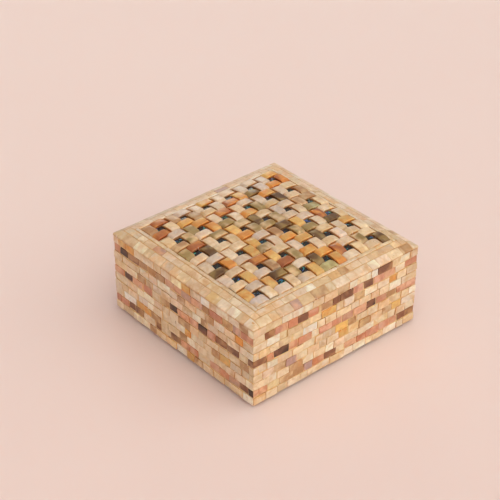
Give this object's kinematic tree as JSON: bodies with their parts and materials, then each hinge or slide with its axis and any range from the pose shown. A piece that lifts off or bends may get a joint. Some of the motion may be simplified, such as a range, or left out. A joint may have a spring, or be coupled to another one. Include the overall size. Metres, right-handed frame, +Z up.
{
  "type": "shell box",
  "caption": "Square lidded box clad in brick courses of shell tiles, with a cushion-shaped lid that carries a woven pinwheel panel with dark paua squares.",
  "frame": {"origin": "middle of the underside", "axes": "+Z up, -Y the side that the picture shows on the left, +X the side that it shows on the right"},
  "size_m": [0.152, 0.152, 0.073],
  "materials": {
    "wood": "satin",
    "cream_shell": "polished",
    "rose_shell": "polished",
    "amber_shell": "polished",
    "paua_shell": "polished"
  },
  "bodies": {
    "root": {"box_body": "wood", "lid_wood": "wood", "body_course_1": "cream_shell", "body_course_2": "rose_shell", "body_course_3": "cream_shell", "body_course_4": "cream_shell", "body_course_5": "cream_shell", "body_course_6": "rose_shell", "body_course_7": "cream_shell", "lid_course_1": "cream_shell", "lid_course_2": "rose_shell", "lid_course_3": "cream_shell", "border_outer": "cream_shell", "border_inner": "cream_shell", "border_slips": "cream_shell", "woven_tiles": "amber_shell", "paua_squares": "paua_shell"}
  },
  "joints": []
}
